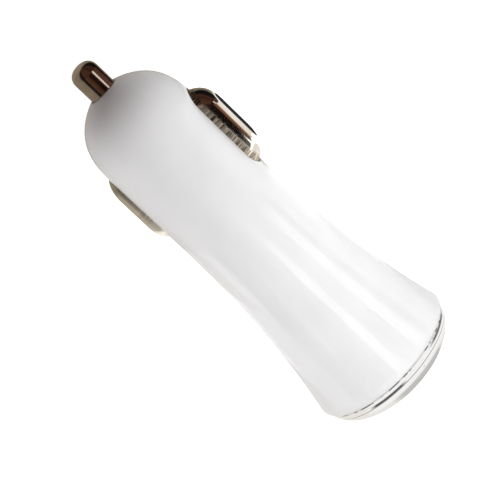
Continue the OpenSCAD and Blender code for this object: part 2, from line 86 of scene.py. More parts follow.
def coverWith(material, inputs):
    # gives a material its surface, with these values and links
    tree = material.node_tree
    surface = addNode(tree, "ShaderNodeBsdfPrincipled", inputs)
    addNode(tree, "ShaderNodeOutputMaterial", {"Surface": surface.outputs["BSDF"]})
    return material


def rampOf(tree, factor, stops):
    # stops are (place, colour) pairs, a colour being sRGB hex or linear values
    ramp = addNode(tree, "ShaderNodeValToRGB", {"Fac": factor})
    elements = ramp.color_ramp.elements
    while len(elements) < len(stops):
        elements.new(0.5)
    for element, (place, colour) in zip(elements, stops):
        element.position = place
        element.color = linearColour(colour) if isinstance(colour, str) else colour
    return ramp.outputs["Color"]


def blendTones(tree, factor, first, second):
    # the first colour where the factor is 0, the second, in sRGB hex or from a node, where it is 1
    if isinstance(second, str):
        second = linearColour(second)
    mix = addNode(tree, "ShaderNodeMix", {"Factor": factor, "A": first, "B": second}, data_type="RGBA")
    return mix.outputs["Result"]


def product(tree, first, second):
    node = addNode(tree, "ShaderNodeMath", {0: first, 1: second}, operation="MULTIPLY")
    return node.outputs["Value"]


def between(tree, value, low, high, least=0.0, most=1.0):
    # runs from least to most while the value runs from low to high
    return addNode(tree, "ShaderNodeMapRange", {"Value": value, "From Min": low, "From Max": high,
                                                "To Min": least, "To Max": most}).outputs["Result"]


def inWindow(tree, value, edges):
    # 1 between the two inner edges, falling to 0 at the outer ones
    return product(tree, between(tree, value, edges[0], edges[1]), between(tree, value, edges[3], edges[2]))


def grey(value):
    return (value, value, value, 1)


def perMillimetre(size):
    # scale of a pattern whose grain is that many millimetres, on coordinates in metres
    return 1000/size


def useMaterial(piece, material):
    piece.data.materials.clear()
    piece.data.materials.append(material)


def onlySelect(piece):
    bpy.ops.object.select_all(action="DESELECT")
    piece.select_set(True)
    bpy.context.view_layer.objects.active = piece


def applyModifiers(piece):
    onlySelect(piece)
    for modifier in list(piece.modifiers):
        bpy.ops.object.modifier_apply(modifier=modifier.name)


def smoothByAngle(piece, degrees):
    onlySelect(piece)
    bpy.ops.object.shade_smooth_by_angle(angle=radians(degrees))


def turnOutline(name, outline, steps):
    # a plane is merged to one point, drawn along the outline, closed, and spun round the plug's axis
    bpy.ops.object.select_all(action="DESELECT")
    bpy.ops.mesh.primitive_plane_add(size=mm)
    piece = bpy.context.object
    piece.name = name
    bpy.ops.object.mode_set(mode="EDIT")
    bpy.ops.mesh.select_all(action="SELECT")
    bpy.ops.mesh.merge(type="CENTER")
    bpy.ops.transform.translate(value=(outline[0][0], 0, outline[0][1]))
    for (r0, z0), (r1, z1) in zip(outline, outline[1:]):
        bpy.ops.mesh.extrude_vertices_move(TRANSFORM_OT_translate={"value": (r1 - r0, 0, z1 - z0)})
    bpy.ops.mesh.select_all(action="SELECT")
    bpy.ops.mesh.remove_doubles(threshold=nearZero/10)
    bpy.ops.mesh.spin(steps=steps, angle=2*pi, center=(0, 0, 0), axis=(0, 0, 1))
    bpy.ops.mesh.select_all(action="SELECT")
    bpy.ops.mesh.remove_doubles(threshold=nearZero/10)
    bpy.ops.mesh.normals_make_consistent(inside=False)
    bpy.ops.object.mode_set(mode="OBJECT")
    return piece


def evenSteps(first, last, count):
    return [first + (last - first)*i/count for i in range(count + 1)]


def roundCorner(corner, before, after, radius):
    # points of a small rounding in place of an outline's corner
    corner, before, after = Vector(corner), Vector(before), Vector(after)
    a = corner + (before - corner).normalized()*radius
    b = corner + (after - corner).normalized()*radius
    return [tuple(a.lerp(corner, t).lerp(corner.lerp(b, t), t)) for t in evenSteps(0, 1, 5)]


def selectVerts(piece, keep):
    # selects vertices in edit mode by their place
    mesh = bmesh.from_edit_mesh(piece.data)
    bpy.ops.mesh.select_all(action="DESELECT")
    bpy.ops.mesh.select_mode(type="VERT")
    for vert in mesh.verts:
        if keep(vert.co):
            vert.select = True
    mesh.select_flush(True)
    bmesh.update_edit_mesh(piece.data)


def cutAway(piece, cutter):
    modifier = piece.modifiers.new("cut", "BOOLEAN")
    modifier.operation = "DIFFERENCE"
    modifier.solver = "EXACT"
    modifier.object = cutter
    applyModifiers(piece)
    bpy.data.objects.remove(cutter)


# Shell: one moulding with a domed nose, a straight part and a flare

shellForm = {
    "bodyRadius": 10.2*mm,
    "wall": 1.6*mm,
    "domeLength": 12.5*mm,
    "domeBlunt": 2.82,
    "domeShoulder": 1.63,
    "domeShift": 1.2*mm,
    "noseFlat": 0.6*mm,
    "noseWall": 2*mm,
    "flareStart": 26*mm,
    "flareLength": 42.4*mm,
    "flareRadius": 14.35*mm,
    "flarePower": 2.35,
    "rimFillet": 1*mm,
    "rimTurn": 50,
    "lipWidth": 1.6*mm,
    "socketDepth": 5.1*mm,
    "pinHole": 2.63*mm,
    "collarRoom": 4*mm,
    "slotLength": 17.8*mm,
    "slotWidth": 6.4*mm,
    "pocketLength": 20.4*mm,
    "pocketWidth": 8*mm,
    "pocketReach": 8.2*mm,
    "slotMiddle": 19*mm,
    "slotStart": 2*mm,
    "slotSegments": 96,
    "holeEdge": 0.18*mm,
    "lipIn": 0.1*mm,
    "lipRise": 0.02*mm,
    "cavityDepth": 0.9*mm,
    "domeRings": 26,
    "domeCrowding": 1.6,
    "straightRings": 8,
    "flareRings": 34,
    "rimRings": 9,
    "innerRings": 20,
    "innerDomeRings": 12,
    "segments": 224,
    "smoothAngle": 32,
}

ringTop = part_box("shell")[0].z
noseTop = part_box("shell")[1].z
tipHeight = noseTop + shellForm["noseFlat"]
slotHeight = tipHeight - shellForm["slotMiddle"]


def domeRadius(s):
    # radius of the nose at a depth s below the tip, and of the straight part past the dome
    f = shellForm
    t = 1 - min(s, f["domeLength"])/f["domeLength"]
    return f["bodyRadius"]*(1 - t**f["domeBlunt"])**(1/f["domeShoulder"])


def flareGrowth(s):
    # how far the flare stands out from the straight part at that depth
    f = shellForm
    t = max(0, s - f["flareStart"])/f["flareLength"]
    return (f["flareRadius"] - f["bodyRadius"])*t**f["flarePower"]


def outerRadius(s):
    return domeRadius(s) + flareGrowth(s)


def innerRadius(s):
    return domeRadius(s - shellForm["domeShift"]) + flareGrowth(s) - shellForm["wall"]


def domeSteps(first, count):
    # steps that crowd towards the tip
    f = shellForm
    return [first + (f["domeLength"] - first)*(i/count)**f["domeCrowding"] for i in range(count + 1)]


def seamRadius():
    # outer radius where the rounded rim meets the ring
    f = shellForm
    return f["flareRadius"] - f["rimFillet"]*(1 - cos(radians(f["rimTurn"])))


def makeShell():
    # the outline runs from the pin's hole over the nose and flare to the rim, and back up along the inside
    f = shellForm
    flareEnd = f["flareStart"] + f["flareLength"]
    socketRadius = seamRadius() - f["lipWidth"]
    socketTop = ringTop + f["socketDepth"]
    socketReach = tipHeight - socketTop
    stopHeight = noseTop - f["noseWall"]
    cavity = f["noseFlat"] + f["noseWall"] + f["cavityDepth"]
    outline = roundCorner((f["pinHole"], noseTop), (f["pinHole"], noseTop - mm),
                          (outerRadius(f["noseFlat"]), noseTop), f["holeEdge"])
    outer = domeSteps(f["noseFlat"], f["domeRings"])
    outer += evenSteps(f["domeLength"], f["flareStart"], f["straightRings"])[1:-1]
    outer += evenSteps(f["flareStart"], flareEnd, f["flareRings"])
    outline += [(outerRadius(s), tipHeight - s) for s in outer]
    for i in range(1, f["rimRings"] + 1):
        a = radians(f["rimTurn"])*i/f["rimRings"]
        outline.append((f["flareRadius"] - f["rimFillet"]*(1 - cos(a)),
                        tipHeight - flareEnd - f["rimFillet"]*sin(a)))
    lipHeight = ringTop + f["lipRise"]
    outline += [(seamRadius() - f["lipIn"], lipHeight), (socketRadius, lipHeight), (socketRadius, socketTop)]
    inner = evenSteps(socketReach, f["flareStart"], f["innerRings"])
    inner += reversed(domeSteps(cavity, f["innerDomeRings"]))
    outline += [(innerRadius(s), tipHeight - s) for s in inner]
    outline += [(f["collarRoom"], tipHeight - cavity), (f["collarRoom"], stopHeight)]
    outline += [(f["pinHole"], stopHeight), outline[0]]
    return turnOutline("shellBody", outline, f["segments"])


def makeOblong(name, length, width, bottom, top, segments):
    # the halves of a disc are drawn apart along X to an oblong, which is then drawn up
    bpy.ops.object.select_all(action="DESELECT")
    bpy.ops.mesh.primitive_circle_add(vertices=segments, radius=width/2, location=(0, 0, bottom),
                                      rotation=(0, 0, pi/segments), fill_type="NGON")
    piece = bpy.context.object
    piece.name = name
    bpy.ops.object.transform_apply(location=True, rotation=True, scale=True)
    bpy.ops.object.mode_set(mode="EDIT")
    for side in (-1, 1):
        selectVerts(piece, lambda co: co.x*side > nearZero)
        bpy.ops.transform.translate(value=(side*(length - width)/2, 0, 0))
    bpy.ops.mesh.select_all(action="SELECT")
    bpy.ops.mesh.extrude_region_move(TRANSFORM_OT_translate={"value": (0, 0, top - bottom)})
    bpy.ops.mesh.select_all(action="SELECT")
    bpy.ops.mesh.normals_make_consistent(inside=False)
    bpy.ops.object.mode_set(mode="OBJECT")
    return piece


def turnToSide(piece, side, height):
    # lays a piece drawn upright on its side, its top towards +X or -X and its length along Z
    piece.rotation_euler = (0, pi/2, 0)
    onlySelect(piece)
    bpy.ops.object.transform_apply(location=True, rotation=True, scale=True)
    if side < 0:
        piece.rotation_euler = (0, 0, pi)
    piece.location = (0, 0, height)
    bpy.ops.object.transform_apply(location=True, rotation=True, scale=True)


def cutSlots(shell):
    # on each side a slot through the wall and a wider pocket behind it for the contact's flange
    f = shellForm
    for side in (1, -1):
        slot = makeOblong("slotCutter", f["slotLength"], f["slotWidth"], f["slotStart"],
                          2*f["bodyRadius"], f["slotSegments"])
        turnToSide(slot, side, slotHeight)
        cutAway(shell, slot)
        bpy.ops.object.select_all(action="DESELECT")
        bpy.ops.mesh.primitive_cube_add(size=1, location=(side*f["pocketReach"]/2, 0, slotHeight))
        pocket = bpy.context.object
        pocket.scale = (f["pocketReach"], f["pocketWidth"], f["pocketLength"])
        bpy.ops.object.transform_apply(location=True, rotation=True, scale=True)
        cutAway(shell, pocket)


shell = makeShell()
cutSlots(shell)
smoothByAngle(shell, shellForm["smoothAngle"])
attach(shell, "housing")
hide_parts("shell")
print("stage: shell,", len(shell.data.polygons), "faces")


# Centre pin, turned with a bullet end and a collar inside the nose

pinForm = {
    "radius": 2.55*mm,
    "bulletLength": 2.3*mm,
    "bulletPower": 0.85,
    "collarRadius": 3.7*mm,
    "collarHeight": 1.2*mm,
    "stubRadius": 1.65*mm,
    "stubLength": 2*mm,
    "tipRadius": 0.001*mm,
    "bulletRings": 22,
    "segments": 96,
    "smoothAngle": 40,
}


def makePin():
    # the outline runs up from the stub past the collar to the bullet end
    f = pinForm
    low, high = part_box("centre_pin")
    collarLow = low.z + f["stubLength"]
    collarHigh = collarLow + f["collarHeight"]
    shoulder = high.z - f["bulletLength"]
    outline = [(f["tipRadius"], low.z), (f["stubRadius"], low.z), (f["stubRadius"], collarLow)]
    outline += [(f["collarRadius"], collarLow), (f["collarRadius"], collarHigh), (f["radius"], collarHigh)]
    for i in range(f["bulletRings"]):
        a = pi/2*i/f["bulletRings"]
        outline.append((f["radius"]*cos(a)**f["bulletPower"],
                        shoulder + f["bulletLength"]*sin(a)**f["bulletPower"]))
    outline += [(f["tipRadius"], high.z), outline[0]]
    pin = turnOutline("contactPin", outline, f["segments"])
    # the thin hole left along the axis is closed by a face at each end
    onlySelect(pin)
    bpy.ops.object.mode_set(mode="EDIT")
    selectVerts(pin, lambda co: hypot(co.x, co.y) < 10*f["tipRadius"])
    bpy.ops.mesh.delete(type="VERT")
    bpy.ops.mesh.select_all(action="DESELECT")
    bpy.ops.mesh.select_non_manifold()
    bpy.ops.mesh.edge_face_add()
    bpy.ops.object.mode_set(mode="OBJECT")
    return pin


pin = makePin()
smoothByAngle(pin, pinForm["smoothAngle"])
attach(pin, "pin")
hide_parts("centre_pin")
print("stage: pin")


# Side contacts: a bump drawn up from sheet, with a flange that stays inside the shell

contactForm = {
    "footLength": 17.2*mm,
    "footWidth": 6*mm,
    "crownLength": 9.1*mm,
    "crownRounding": 1.3*mm,
    "endRounding": 4.1*mm,
    "sideDraft": 0.1*mm,
    "wallHeight": 1.7*mm,
    "height": 4.7*mm,
    "sheet": 0.4*mm,
    "flangeLength": 19.8*mm,
    "flangeWidth": 7.8*mm,
    "flangeCorner": 1*mm,
    "flangeCornerSteps": 5,
    "footFillet": 0.25*mm,
    "crownInset": 0.6*mm,
    "crownRise": 0.015*mm,
    "slopeSteps": 6,
    "roundingSteps": 12,
    "segments": 64,
    "smoothAngle": 40,
}


def stepOblong(piece, new, old):
    # draws the selected oblong loop up and shrinks each rounded end round its own centre
    length, width, height = new
    bpy.ops.mesh.extrude_region_move(TRANSFORM_OT_translate={"value": (0, 0, height - old[2])})
    for side in (-1, 1):
        selectVerts(piece, lambda co: abs(co.z - height) < nearZero and co.x*side > 0)
        bpy.ops.transform.translate(value=(side*((length - width) - (old[0] - old[1]))/2, 0, 0))
        centre = (side*(length - width)/2, 0, height)
        bpy.ops.transform.resize(value=(width/old[1], width/old[1], 1), center_override=centre)
    selectVerts(piece, lambda co: abs(co.z - height) < nearZero)


def bumpHalfWidth(height):
    # nearly upright walls with a rounded upper edge
    f = contactForm
    low = f["height"] - f["crownRounding"]
    if height <= low:
        share = (height - f["wallHeight"])/(low - f["wallHeight"])
        return f["footWidth"]/2 - f["sideDraft"]*share
    rise = min(1, (height - low)/f["crownRounding"])
    return f["footWidth"]/2 - f["sideDraft"] - f["crownRounding"]*(1 - sqrt(1 - rise*rise))


def bumpReach(height):
    # sloping ends that run without a corner into a round of their own
    f = contactForm
    r, middle = f["endRounding"], f["crownLength"]/2
    centre = f["height"] - r
    across, below = f["footLength"]/2 - middle, f["wallHeight"] - centre
    angle = atan2(below, across) + acos(r/hypot(across, below))
    touch = (middle + r*cos(angle), centre + r*sin(angle))
    if height < touch[1]:
        share = (height - f["wallHeight"])/(touch[1] - f["wallHeight"])
        return f["footLength"]/2 + (touch[0] - f["footLength"]/2)*share
    return middle + sqrt(max(0, r*r - (height - centre)**2))


def bumpProfile():
    # length, width and height of each loop, from the fillet at the foot to the crown
    f = contactForm
    profile = []
    for a in evenSteps(0, pi/2, 3):
        spread = 2*f["footFillet"]*(1 - sin(a))
        profile.append((f["footLength"] + spread, f["footWidth"] + spread, f["footFillet"]*(1 - cos(a))))
    roundingLow = f["height"] - f["crownRounding"]
    heights = evenSteps(f["wallHeight"], roundingLow, f["slopeSteps"])[:-1]
    heights += [roundingLow + f["crownRounding"]*sin(a) for a in evenSteps(0, pi/2, f["roundingSteps"])]
    return profile + [(2*bumpReach(h), 2*bumpHalfWidth(h), h) for h in heights]


def makeContact(name, node, side):
    # a plate with rounded corners, its face taken out and bridged to the bump's foot, then the bump drawn up
    f = contactForm
    profile = bumpProfile()
    footLength, footWidth = profile[0][:2]
    bpy.ops.object.select_all(action="DESELECT")
    bpy.ops.mesh.primitive_circle_add(vertices=f["segments"], radius=footWidth/2, fill_type="NOTHING",
                                      rotation=(0, 0, pi/f["segments"]))
    piece = bpy.context.object
    piece.name = name
    bpy.ops.object.transform_apply(location=True, rotation=True, scale=True)
    bpy.ops.object.mode_set(mode="EDIT")
    for end in (-1, 1):
        selectVerts(piece, lambda co: co.x*end > nearZero)
        bpy.ops.transform.translate(value=(end*(footLength - footWidth)/2, 0, 0))
    bpy.ops.mesh.select_all(action="DESELECT")
    bpy.ops.mesh.primitive_plane_add(size=1)
    bpy.ops.transform.resize(value=(f["flangeLength"], f["flangeWidth"], 1), center_override=(0, 0, 0))
    bpy.ops.mesh.bevel(offset=f["flangeCorner"], segments=f["flangeCornerSteps"], affect="VERTICES")
    bpy.ops.mesh.delete(type="ONLY_FACE")
    bpy.ops.mesh.select_all(action="SELECT")
    bpy.ops.mesh.bridge_edge_loops()
    room = 0.05*mm
    selectVerts(piece, lambda co: abs(co.y) < footWidth/2 + room and abs(co.x) < footLength/2 + room)
    for old, new in zip(profile, profile[1:]):
        stepOblong(piece, new, old)
    bpy.ops.mesh.edge_face_add()
    bpy.ops.mesh.inset(thickness=f["crownInset"], depth=f["crownRise"])
    bpy.ops.mesh.select_all(action="SELECT")
    bpy.ops.mesh.normals_make_consistent(inside=False)
    bpy.ops.object.mode_set(mode="OBJECT")
    # an open sheet has no inside, so its normals are turned to the crown's side where they aren't
    if sum(face.normal.z*face.area for face in piece.data.polygons) < 0:
        onlySelect(piece)
        bpy.ops.object.mode_set(mode="EDIT")
        bpy.ops.mesh.select_all(action="SELECT")
        bpy.ops.mesh.flip_normals()
        bpy.ops.object.mode_set(mode="OBJECT")
    solid = piece.modifiers.new("sheet", "SOLIDIFY")
    solid.thickness = f["sheet"]
    solid.offset = -1
    applyModifiers(piece)
    low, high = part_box(node)
    crown = high.x if side > 0 else -low.x
    piece.location = (0, 0, crown - f["height"])
    onlySelect(piece)
    bpy.ops.object.transform_apply(location=True, rotation=True, scale=True)
    turnToSide(piece, side, (low.z + high.z)/2)
    smoothByAngle(piece, f["smoothAngle"])
    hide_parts(node)
    return piece


contactRight = makeContact("contactRight", "side_contact_right", 1)
contactLeft = makeContact("contactLeft", "side_contact_left", -1)
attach(contactRight, "right_contact")
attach(contactLeft, "left_contact")
print("stage: side contacts")


# End ring: a sloping band next to the shell, a groove, and a domed bead

ringForm = {
    "bandHeight": 1.3*mm,
    "bandIn": 0.3*mm,
    "beadPower": 1.5,
    "crestRadius": 8.9*mm,
    "boreRadius": 8.2*mm,
    "shelfHeight": 1.9*mm,
    "shelfRadius": 10.6*mm,
    "panelRim": 1.3*mm,
    "skirtThickness": 1.1*mm,
    "snapOut": 0.2*mm,
    "snapLow": 0.2*mm,
    "snapHigh": 0.7*mm,
    "snapSlope": 0.2*mm,
    "skirtBevel": 0.3*mm,
    "seamIn": 0.05*mm,
    "seamDrop": 0.03*mm,
    "fitGap": 0.1*mm,
    "seamRound": 0.1*mm,
    "kinkRound": 0.09*mm,
    "boreRound": 0.25*mm,
    "grooveDepth": 0.16*mm,
    "grooveFloor": 0.02*mm,
    "beadSet": (0.05*mm, 0.04*mm),
    "beadRings": 28,
    "segments": 256,
    "smoothAngle": 40,
}


def makeRing():
    # the outline runs from the seam down the band and bead to the crest, up the bore, and round the skirt
    f = ringForm
    gap = f["fitGap"]
    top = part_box("bezel_ring")[1].z
    skirt = seamRadius() - shellForm["lipWidth"] - gap
    skirtIn = skirt - f["skirtThickness"]
    kinkHeight = ringTop - f["bandHeight"]
    kinkRadius = seamRadius() - f["bandIn"]
    grooveRadius = kinkRadius - f["grooveDepth"]
    beadWidth = kinkRadius - gap - f["crestRadius"]
    seam, kink = (seamRadius() - f["seamIn"], ringTop - f["seamDrop"]), (kinkRadius, kinkHeight)
    outline = roundCorner(seam, (skirt, ringTop), kink, f["seamRound"])
    outline += roundCorner(kink, seam, (grooveRadius, kinkHeight), f["kinkRound"])
    outline.append((grooveRadius - gap, kinkHeight - f["grooveFloor"]))
    outline.append((kinkRadius - gap - f["beadSet"][0], kinkHeight - f["beadSet"][1]))
    for i in range(1, f["beadRings"]):
        a = pi/2*i/f["beadRings"]
        outline.append((f["crestRadius"] + beadWidth*cos(a)**(2/f["beadPower"]),
                        kinkHeight*(1 - sin(a)**(2/f["beadPower"]))))
    outline.append((f["crestRadius"], 0))
    outline += roundCorner((f["boreRadius"], 0), (f["crestRadius"], 0), (f["boreRadius"], mm), f["boreRound"])
    outline += [(f["boreRadius"], f["shelfHeight"]), (f["shelfRadius"], f["shelfHeight"])]
    shelfTop = f["shelfHeight"] + f["panelRim"] + gap
    outline += [(f["shelfRadius"], shelfTop), (skirtIn, shelfTop), (skirtIn, top)]
    outline += [(skirt - f["skirtBevel"], top), (skirt, top - f["skirtBevel"])]
    snap, snapOut = (ringTop + top)/2, skirt + f["snapOut"]
    outline += [(skirt, snap + f["snapHigh"] + f["snapSlope"]), (snapOut, snap + f["snapHigh"])]
    outline += [(snapOut, snap + f["snapLow"]), (skirt, snap), (skirt, ringTop)]
    outline.append(outline[0])
    return turnOutline("endRing", outline, f["segments"])


ring = makeRing()
smoothByAngle(ring, ringForm["smoothAngle"])
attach(ring, "housing")
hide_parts("bezel_ring")
print("stage: ring")


# Springs: each coil is its CAD node's mesh in a piece of its own

coilForm = {
    "coilPin": {"node": "pin_spring", "body": "pin", "axis": "z", "fixedEnd": 0},
    "coilRight": {"node": "contact_spring_right", "body": "right_contact", "axis": "x", "fixedEnd": 0},
    "coilLeft": {"node": "contact_spring_left", "body": "left_contact", "axis": "x", "fixedEnd": 1},
}


def makeCoil(name, node, body, axis, fixedEnd):
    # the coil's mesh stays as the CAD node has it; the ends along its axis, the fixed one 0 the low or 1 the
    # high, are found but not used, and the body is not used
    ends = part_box(node)
    coil = bpy.data.objects.new(name, nodes[node].data.copy())
    bpy.context.scene.collection.objects.link(coil)
    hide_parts(node)
    start, end = Vector(), Vector()
    setattr(start, axis, getattr(ends[fixedEnd], axis))
    setattr(end, axis, getattr(ends[1 - fixedEnd], axis))
    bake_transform(coil)
    return coil


coils = [makeCoil(name, **form) for name, form in coilForm.items()]
print("stage: springs,", len(coils))


# Materials

def makeGlossyAbs():
    # glossy white ABS from a polished mould: soft long reflections, a few dark specks in the melt
    material, tree, place = newMaterial("glossyAbs")
    flow = addNode(tree, "ShaderNodeTexNoise", {"Vector": place, "Scale": perMillimetre(9), "Detail": 2,
                                                "Roughness": 0.5}).outputs["Fac"]
    cells = addNode(tree, "ShaderNodeTexVoronoi", {"Vector": place, "Scale": perMillimetre(9)})
    speck = addNode(tree, "ShaderNodeMath", {0: cells.outputs["Distance"], 1: 0.014}, operation="LESS_THAN")
    draw = addNode(tree, "ShaderNodeSeparateColor", {"Color": cells.outputs["Color"]})
    chosen = addNode(tree, "ShaderNodeMath", {0: draw.outputs["Red"], 1: 0.42}, operation="LESS_THAN")
    specks = product(tree, speck.outputs["Value"], chosen.outputs["Value"])
    tone = rampOf(tree, flow, [(0.3, "#eceef0"), (0.7, "#f1f3f4")])
    wave = addNode(tree, "ShaderNodeTexNoise", {"Vector": place, "Scale": perMillimetre(16), "Detail": 1})
    bump = addNode(tree, "ShaderNodeBump", {"Height": wave.outputs["Fac"], "Strength": 0.12,
                                            "Distance": 0.25*mm})
    return coverWith(material, {"Base Color": blendTones(tree, specks, tone, "#6f6a68"), "IOR": 1.53,
                                "Roughness": between(tree, flow, 0.3, 0.7, 0.045, 0.075),
                                "Normal": bump.outputs["Normal"]})


def makeTurnedNickel():
    # nickel plate over turned brass: mirror bright, with faint turning rings and a warm haze
    material, tree, place = newMaterial("turnedNickel")
    flat = addNode(tree, "ShaderNodeMapping", {"Vector": place, "Scale": (0.02, 0.02, 1)}).outputs["Vector"]
    rings = addNode(tree, "ShaderNodeTexNoise", {"Vector": flat, "Scale": perMillimetre(0.12), "Detail": 2})
    haze = addNode(tree, "ShaderNodeTexNoise", {"Vector": place, "Scale": perMillimetre(2.2),
                                                "Detail": 4}).outputs["Fac"]
    bump = addNode(tree, "ShaderNodeBump", {"Height": rings.outputs["Fac"], "Strength": 0.08,
                                            "Distance": 0.02*mm})
    return coverWith(material, {"Base Color": rampOf(tree, haze, [(0.35, "#c9bcab"), (0.65, "#ddd3c6")]),
                                "Roughness": between(tree, haze, 0.3, 0.75, 0.07, 0.15),
                                "Metallic": 1.0, "Normal": bump.outputs["Normal"]})


def makeSatinNickel():
    # nickel plate worn dull by the socket's wall: a soft pale sheen with faint rubbing marks
    material, tree, place = newMaterial("satinNickel")
    along = addNode(tree, "ShaderNodeMapping", {"Vector": place, "Scale": (0.1, 0.3, 1)}).outputs["Vector"]
    marks = addNode(tree, "ShaderNodeTexNoise", {"Vector": along, "Scale": perMillimetre(0.5),
                                                 "Detail": 3}).outputs["Fac"]
    haze = addNode(tree, "ShaderNodeTexNoise", {"Vector": place, "Scale": perMillimetre(2.5),
                                                "Detail": 4}).outputs["Fac"]
    bump = addNode(tree, "ShaderNodeBump", {"Height": marks, "Strength": 0.2, "Distance": 0.02*mm})
    return coverWith(material, {"Base Color": rampOf(tree, haze, [(0.35, "#dfd9cb"), (0.65, "#eeeade")]),
                                "Roughness": between(tree, marks, 0.3, 0.7, 0.24, 0.36),
                                "Metallic": 1.0, "Normal": bump.outputs["Normal"]})


def makeDrawnNickel():
    # nickel plate over deep-drawn sheet: mirror bright, and scuffed pale across its walls where the slot rubs
    material, tree, place = newMaterial("drawnNickel")
    along = addNode(tree, "ShaderNodeMapping", {"Vector": place, "Scale": (0.06, 0.3, 1)}).outputs["Vector"]
    streaks = addNode(tree, "ShaderNodeTexNoise", {"Vector": along, "Scale": perMillimetre(0.26), "Detail": 4,
                                                   "Roughness": 0.7}).outputs["Fac"]
    haze = addNode(tree, "ShaderNodeTexNoise", {"Vector": place, "Scale": perMillimetre(3),
                                                "Detail": 4}).outputs["Fac"]
    plate = rampOf(tree, haze, [(0.35, "#e2dbcf"), (0.65, "#f1ece3")])
    scuffs = rampOf(tree, streaks, [(0.4, "#57493b"), (0.58, "#efe6cf")])
    # the scuffs end raggedly, a little above the slot's edge
    out = addNode(tree, "ShaderNodeSeparateXYZ", {"Vector": place})
    reach = addNode(tree, "ShaderNodeMath", {0: out.outputs["X"]}, operation="ABSOLUTE")
    ragged = addNode(tree, "ShaderNodeMath", {0: streaks, 1: 0.9*mm, 2: reach.outputs["Value"]},
                     operation="MULTIPLY_ADD")
    rubbed = between(tree, ragged.outputs["Value"], 11.5*mm, 11.0*mm)
    depth = between(tree, rubbed, 0, 1, 0.06, 0.6)
    bump = addNode(tree, "ShaderNodeBump", {"Height": streaks, "Strength": depth, "Distance": 0.03*mm})
    return coverWith(material, {"Base Color": blendTones(tree, rubbed, plate, scuffs),
                                "Roughness": between(tree, rubbed, 0, 1, 0.09, 0.42),
                                "Metallic": 1.0, "Normal": bump.outputs["Normal"]})


def makeChromePlate():
    # bright chrome over moulded ABS: neutral mirror with a slight orange peel and pinhole specks
    material, tree, place = newMaterial("chromePlate")
    cells = addNode(tree, "ShaderNodeTexVoronoi", {"Vector": place, "Scale": perMillimetre(2.6)})
    hole = addNode(tree, "ShaderNodeMath", {0: cells.outputs["Distance"], 1: 0.05}, operation="LESS_THAN")
    tone = blendTones(tree, hole.outputs["Value"], linearColour("#fafafb"), "#8c8984")
    # the open joint against the shell shows as a broken dark line along the ring's upper edge
    height = addNode(tree, "ShaderNodeSeparateXYZ", {"Vector": place}).outputs["Z"]
    spread = addNode(tree, "ShaderNodeTexNoise", {"Vector": place, "Scale": perMillimetre(1.5), "Detail": 2})
    joint = product(tree, between(tree, height, ringTop - 0.26*mm, ringTop - 0.18*mm),
                    between(tree, spread.outputs["Fac"], 0.5, 0.55, 0.15))
    tone = blendTones(tree, joint, tone, "#2b292b")
    # painted shade: the chrome's colour is darkened in the groove between band and bead
    kink = ringTop - ringForm["bandHeight"]
    groove = inWindow(tree, height, [kink - 0.16*mm, kink - 0.1*mm, kink + 0.04*mm, kink + 0.1*mm])
    tone = blendTones(tree, product(tree, groove, 0.55), tone, "#978c86")
    peel = addNode(tree, "ShaderNodeTexNoise", {"Vector": place, "Scale": perMillimetre(1.4), "Detail": 2})
    bump = addNode(tree, "ShaderNodeBump", {"Height": peel.outputs["Fac"], "Strength": 0.2,
                                            "Distance": 0.02*mm})
    return coverWith(material, {"Base Color": tone, "Roughness": 0.07, "Metallic": 1.0,
                                "Normal": bump.outputs["Normal"]})


def makeMoulded(name, dark, light, roughness, grain, depth):
    # moulded plastic or ceramic: faintly cloudy, with a fine sparked texture, grain and depth in millimetres
    material, tree, place = newMaterial(name)
    cloud = addNode(tree, "ShaderNodeTexNoise", {"Vector": place, "Scale": perMillimetre(4), "Detail": 2})
    sparks = addNode(tree, "ShaderNodeTexNoise", {"Vector": place, "Scale": perMillimetre(grain),
                                                  "Detail": 3}).outputs["Fac"]
    bump = addNode(tree, "ShaderNodeBump", {"Height": sparks, "Strength": 0.3, "Distance": depth*mm})
    return coverWith(material, {"Base Color": rampOf(tree, cloud.outputs["Fac"], [(0.3, dark), (0.7, light)]),
                                "Roughness": roughness, "IOR": 1.5, "Normal": bump.outputs["Normal"]})


def makeMetal(name, dark, light, roughness, grain, stretch):
    # sheet or wire whose fine grain, in millimetres, runs along one way
    material, tree, place = newMaterial(name)
    along = addNode(tree, "ShaderNodeMapping", {"Vector": place, "Scale": stretch}).outputs["Vector"]
    lines = addNode(tree, "ShaderNodeTexNoise", {"Vector": along, "Scale": perMillimetre(grain),
                                                 "Detail": 3}).outputs["Fac"]
    bump = addNode(tree, "ShaderNodeBump", {"Height": lines, "Strength": 0.25, "Distance": 0.01*mm})
    return coverWith(material, {"Base Color": rampOf(tree, lines, [(0.3, dark), (0.7, light)]),
                                "Roughness": roughness, "Metallic": 1.0, "Normal": bump.outputs["Normal"]})


def makeClearAcrylic():
    # clear moulded rod: passes light, with faint flow lines
    material, tree, place = newMaterial("clearAcrylic")
    flow = addNode(tree, "ShaderNodeTexNoise", {"Vector": place, "Scale": perMillimetre(1.5), "Detail": 2})
    bump = addNode(tree, "ShaderNodeBump", {"Height": flow.outputs["Fac"], "Strength": 0.1,
                                            "Distance": 0.05*mm})
    return coverWith(material, {"Base Color": linearColour("#eef3f6"), "Roughness": 0.08, "IOR": 1.49,
                                "Transmission Weight": 0.9, "Normal": bump.outputs["Normal"]})


